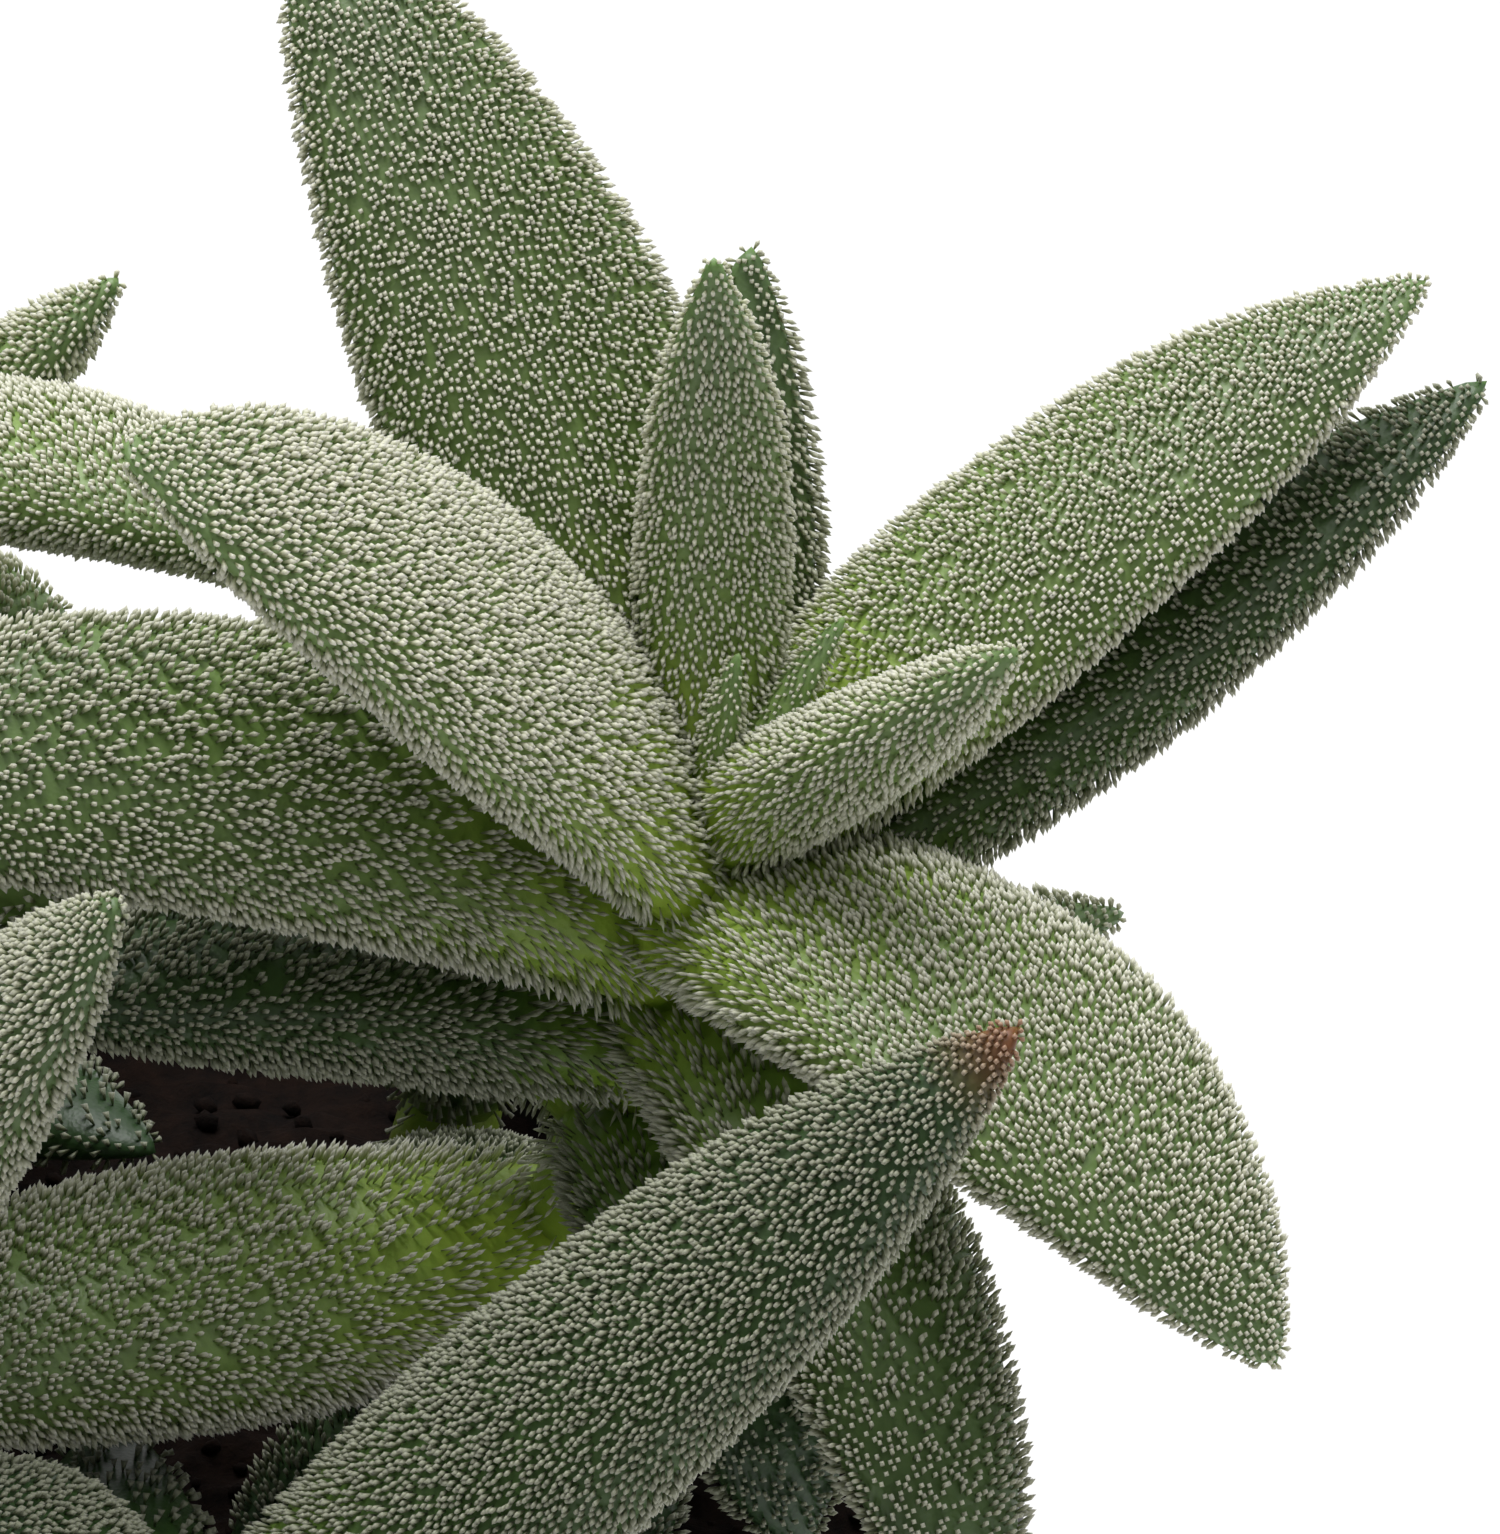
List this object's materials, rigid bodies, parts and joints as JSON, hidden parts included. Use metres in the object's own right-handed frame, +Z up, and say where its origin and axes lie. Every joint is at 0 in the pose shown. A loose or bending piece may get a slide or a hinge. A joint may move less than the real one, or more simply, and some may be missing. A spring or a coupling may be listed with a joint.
{
  "type": "potted crassula mesembryanthemoides",
  "caption": "Small potted succulent: leafy stems with thick, pointed, downy leaves in crossed pairs, standing in soil in a plain round nursery pot.",
  "frame": {"origin": "middle of the pot's flat underside, on the pot's axis", "axes": "+Z up along the pot's axis; -Y is the side from which the picture looks, with the largest leafy stem on the +X side"},
  "size_m": [0.0877, 0.077, 0.1111],
  "materials": {
    "pot_plastic": "moulded black polypropylene, satin",
    "potting_soil": "damp dark red-brown peat with grit, matt",
    "downy_leaf": "soft green leaf under a close felt of short white bristles"
  },
  "bodies": {
    "root": {"pot": "pot_plastic", "soil": "potting_soil", "leafy_stem_1": "downy_leaf", "leafy_stem_2": "downy_leaf", "leafy_stem_3": "downy_leaf", "leafy_stem_4": "downy_leaf", "leafy_stem_5": "downy_leaf", "leafy_stem_6": "downy_leaf", "leafy_stem_7": "downy_leaf"}
  },
  "joints": []
}
